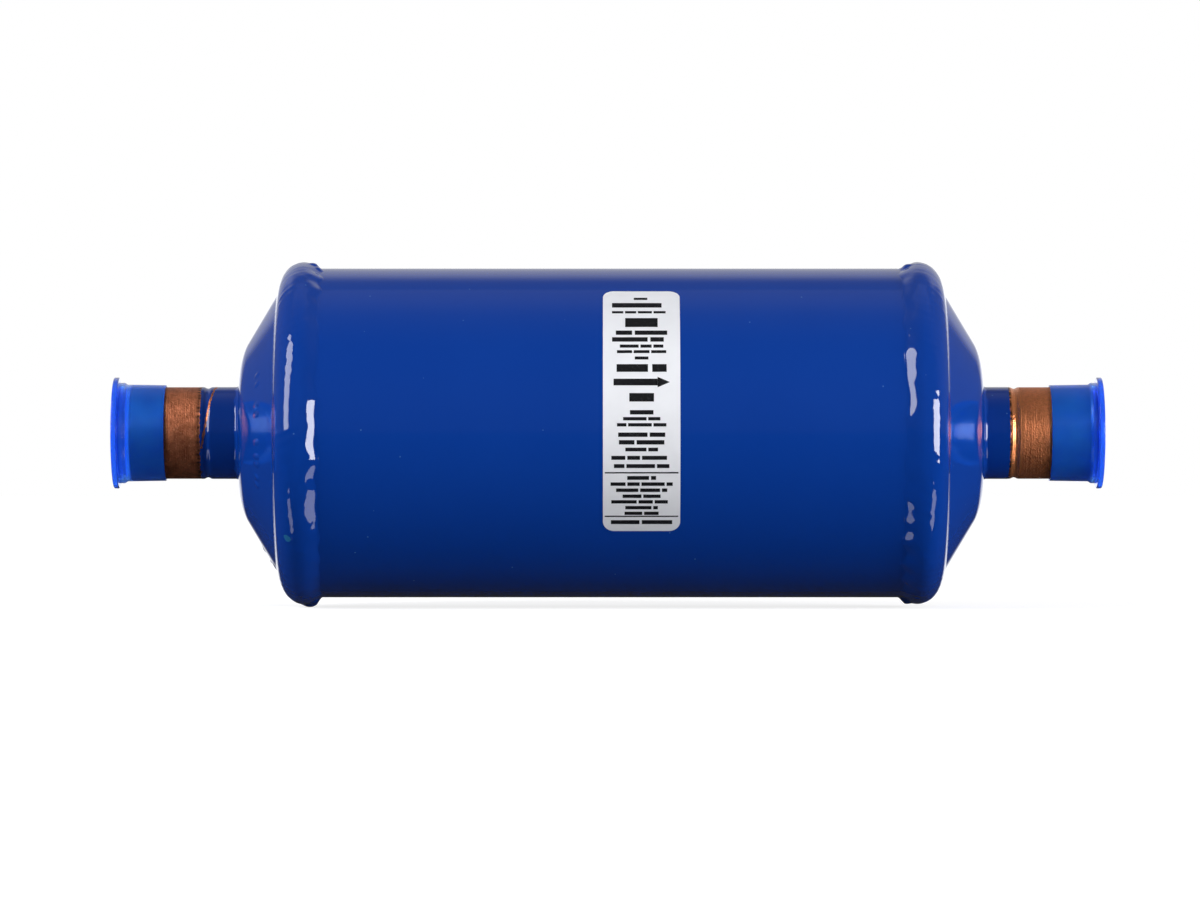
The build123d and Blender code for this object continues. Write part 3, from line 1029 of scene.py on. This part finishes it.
def spring(name):
    """Conical coil: a circle of wire carried along x = start + length q, the coil's radius growing
    with q. The circle shrinks to a point at both ends, which closes them."""
    low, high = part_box("bed_spring")
    rings = 481
    q = np.concatenate([[0.0], np.linspace(0, 1, rings), [1.0]])[:, None]
    thick = SPRING_WIRE * np.concatenate([[0.0], np.ones(rings), [0.0]])[:, None]
    section = np.linspace(0, TURN, 16, endpoint=False)[None, ::-1]
    x = low.x + SPRING_WIRE + (high.x - low.x - 2 * SPRING_WIRE) * q
    coil = SPRING_SMALL_COIL + (high.z - SPRING_WIRE - SPRING_SMALL_COIL) * q
    turned = q * SPRING_TURNS * TURN
    points = round_the_axis(x + thick * np.sin(section), coil + thick * np.cos(section), turned)
    piece = put_mesh(name, points, grid_faces(rings + 2, 16, False, True))
    close_poles(piece)
    return piece


# ---------------------------------------------------------------- stage

FLOOR_GREY = 0.42
FLOOR_HALF = 4.0
FLOOR_GLOW_NEAR = 0.80
FLOOR_GLOW_RISE = 0.19


def seen_directly(finish):
    """1 for rays that come from the camera or through the clear plastic."""
    return finish.ray("Is Camera Ray").math("MAXIMUM", finish.ray("Is Transmission Ray"))


def pale_floor():
    """Matt pale board. Rays from the camera and through the plastic see it glow, far off as bright as
    the sky behind it, and the mirror image in the gloss looks past it."""
    finish = Finish("pale_floor")
    matt = finish.node("ShaderNodeBsdfDiffuse", None, Color=grey(FLOOR_GREY))
    x, y = finish.axis("X"), finish.axis("Y")
    far = finish.step(x * x + y * y, 0.1, 1.2)
    strength = seen_directly(finish) * (far * FLOOR_GLOW_RISE + FLOOR_GLOW_NEAR)
    glow = finish.node("ShaderNodeEmission", None, Strength=strength)
    board = finish.node("ShaderNodeAddShader", None, matt, glow)
    clear = finish.node("ShaderNodeBsdfTransparent")
    mixed = finish.node("ShaderNodeMixShader", None, finish.ray("Is Glossy Ray"), board, clear)
    finish.node("ShaderNodeOutputMaterial", None, mixed)
    return finish.owner


def studio():
    """White to the camera. To the part: a lit wall behind, brightest near the horizon, a dim strip of
    ceiling overhead, and a dark room in front. Each is a product of steps of the direction."""
    finish = Finish("studio", world=True)
    direction = finish.node("ShaderNodeTexCoord", out="Generated")
    x, y, z = (finish.node("ShaderNodeSeparateXYZ", None, direction, out=letter) for letter in "XYZ")
    above = finish.step(z, -0.02, 0.02)
    side = x.math("ABSOLUTE")
    behind = finish.step(y, 0.0, 0.15) * (1 - finish.step(side, 0.40, 0.56))
    behind = behind * finish.step(z, -0.15, -0.08)
    wall = behind * (1 - finish.step(z, 0.55, 0.78)) * 0.45
    horizon = behind * (1 - finish.step(z, 0.05, 0.14)) * 0.8
    room = above * (finish.step(y, -0.5, 0.1) * 0.10 + 0.05)
    ceiling = finish.step(z, 0.855, 0.885) * finish.step(y, -0.05, 0.3) * 0.12
    table = (1 - above) * finish.step(y, -0.2, 0.5) * 0.02
    level = wall + horizon + room + ceiling + table + 0.01
    seen = seen_directly(finish)
    sky = finish.node("ShaderNodeBackground", None, grey(1.0), Strength=seen + (1 - seen) * level)
    finish.node("ShaderNodeOutputWorld", None, sky)
    bpy.context.scene.world = finish.owner


def hang_softbox(name, azimuth, elevation, distance, size, radiance, glossy):
    """A rectangular lamp that faces the origin. Azimuth 0 is the camera's side and 90 is +X; a
    rectangle's power is its radiance times its area times pi."""
    a, e = math.radians(azimuth), math.radians(elevation)
    place = distance * Vector((math.sin(a) * math.cos(e), -math.cos(a) * math.cos(e), math.sin(e)))
    lamp = bpy.data.lights.new(name, "AREA")
    lamp.shape = "RECTANGLE"
    lamp.size, lamp.size_y = size
    lamp.energy = radiance * size[0] * size[1] * math.pi
    holder = bpy.data.objects.new(name, lamp)
    bpy.context.scene.collection.objects.link(holder)
    holder.location = place
    holder.rotation_euler = (-place).to_track_quat("-Z", "Y").to_euler()
    holder.visible_camera = False
    holder.visible_glossy = glossy


# Name, azimuth and elevation in degrees, distance, width and height in metres, radiance, and whether
# the gloss mirrors it.
SOFTBOXES = (
    ("left_softbox", -62, 27, 1.1, (0.48, 1.02), 7.4, True),
    ("right_softbox", 62, 3, 1.1, (0.60, 0.58), 15.0, True),
    ("left_low_softbox", -62, -44, 1.1, (0.26, 0.48), 2.2, True),
    ("right_low_softbox", 62, -39, 1.1, (0.32, 0.46), 3.2, True),
    ("front_fill", 0, 26, 1.5, (0.9, 0.6), 1.3, False),
    ("rear_fill", 180, 50, 1.3, (0.9, 0.9), 0.9, False),
)


def stage():
    """The floor, which the part stands on, the studio round it and the lamps."""
    signs = np.array([(-1, -1), (1, -1), (1, 1), (-1, 1)])
    corners = np.column_stack([signs * FLOOR_HALF, np.full(4, cad_low.z)])
    floor = put_mesh("floor", corners, np.array([[0, 1, 2, 3]]))
    floor.data.materials.append(pale_floor())
    studio()
    for softbox in SOFTBOXES:
        hang_softbox(*softbox)


# The camera's distance in metres, and the picture in pixels: its size, where the body's middle
# falls, and how large a metre is there.
CAMERA_DISTANCE = 1.7
IMAGE = (1200, 900)
BODY_AT = (611.0, 433.0)
PIXELS_PER_METRE = 3700.0


def camera():
    """Looks along +Y, placed so that the body's middle falls where BODY_AT says."""
    data = bpy.data.cameras.new("camera")
    data.sensor_width = 36.0
    data.lens = data.sensor_width * PIXELS_PER_METRE * CAMERA_DISTANCE / IMAGE[0]
    holder = bpy.data.objects.new("camera", data)
    bpy.context.scene.collection.objects.link(holder)
    holder.location = (
        (IMAGE[0] / 2 - BODY_AT[0]) / PIXELS_PER_METRE,
        -CAMERA_DISTANCE,
        (BODY_AT[1] - IMAGE[1] / 2) / PIXELS_PER_METRE,
    )
    holder.rotation_euler = (math.pi / 2, 0, 0)
    bpy.context.scene.camera = holder


# ---------------------------------------------------------------- assembly

camera()
stage()

enamel = blue_paint()
give(shell(), enamel, "root", "blue_paint", "shell_tube")
give(dome("inlet_dome", -1, dome_pips), enamel, "root", "blue_paint", "inlet_end_cap")
give(dome("outlet_dome", 1), enamel, "root", "blue_paint", "outlet_end_cap")
inlet_weld = weld("inlet_weld", -1, 21, WELD_RADIUS, INLET_DROPS)
outlet_weld = weld("outlet_weld", 1, 24, WELD_RADIUS - 0.2 * MM, OUTLET_DROPS)
give(inlet_weld, enamel, "root", "blue_paint", "inlet_weld_bead")
give(outlet_weld, enamel, "root", "blue_paint", "outlet_weld_bead")
# Both stubs darken beside the paint's edge with dirt and painted shade.
inlet_stub = stub("inlet_stub", -1, edge_x=110.4 * MM, edge_rough=0.22 * MM, seed=3, polish=0.25,
                  dirt_and_shade=1.2, dirt_and_shade_width=0.6 * MM, scratched=True)
outlet_stub = stub("outlet_stub", 1, edge_x=107.2 * MM, edge_rough=0.05 * MM, seed=8, polish=1.0,
                   dirt_and_shade=2.6, dirt_and_shade_width=0.20 * MM)
# The inlet neck's paint is darkened by painted shade.
handled = stub_finish("handled_copper", dullness=0.36, painted_sheen=0.0, deep=0.25)
# The outlet copper's grains carry a painted highlight.
bright = stub_finish("bright_copper", dullness=0.34, painted_sheen=0.75, deep=0.0)
give(inlet_stub, handled, "root", "copper", "inlet_fitting")
give(outlet_stub, bright, "root", "copper", "outlet_fitting")
give(braze("inlet_braze", -1), enamel, "root", "blue_paint", "inlet_braze_ring")
give(braze("outlet_braze", 1), enamel, "root", "blue_paint", "outlet_braze_ring")

plastic = cap_plastic()
inlet_cap = shipping_cap("inlet_cap_moulding", -1, INLET_CAP_FACE)
outlet_cap = shipping_cap("outlet_cap_moulding", 1, OUTLET_CAP_FACE)
give(inlet_cap, plastic, "inlet_cap", "blue_plastic", "inlet_shipping_cap")
give(outlet_cap, plastic, "outlet_cap", "blue_plastic", "outlet_shipping_cap")
give(label_face("label_film"), label_film(), "root", "silver_label", "flow_label")
give(label_print("label_print"), label_ink(), "root", "silver_label")

steel = inner_steel()
coil = spring("coil_spring")
give(coil, steel, "root", "bare_steel", "bed_spring")
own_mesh(coil)
INNER = {
    "pressure_plate": steel,
    "outlet_support_plate": steel,
    "inlet_screen": wire_cloth(),
    "outlet_screen": wire_cloth(),
    "inlet_filter_pad": fibre_pad(),
    "outlet_filter_pad": fibre_pad(),
    "desiccant_bed": desiccant_beads(),
}
for node, material in INNER.items():
    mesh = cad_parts[node].data
    mesh.materials.clear()
    mesh.materials.append(material)

bpy.context.scene.view_settings.view_transform = "Standard"
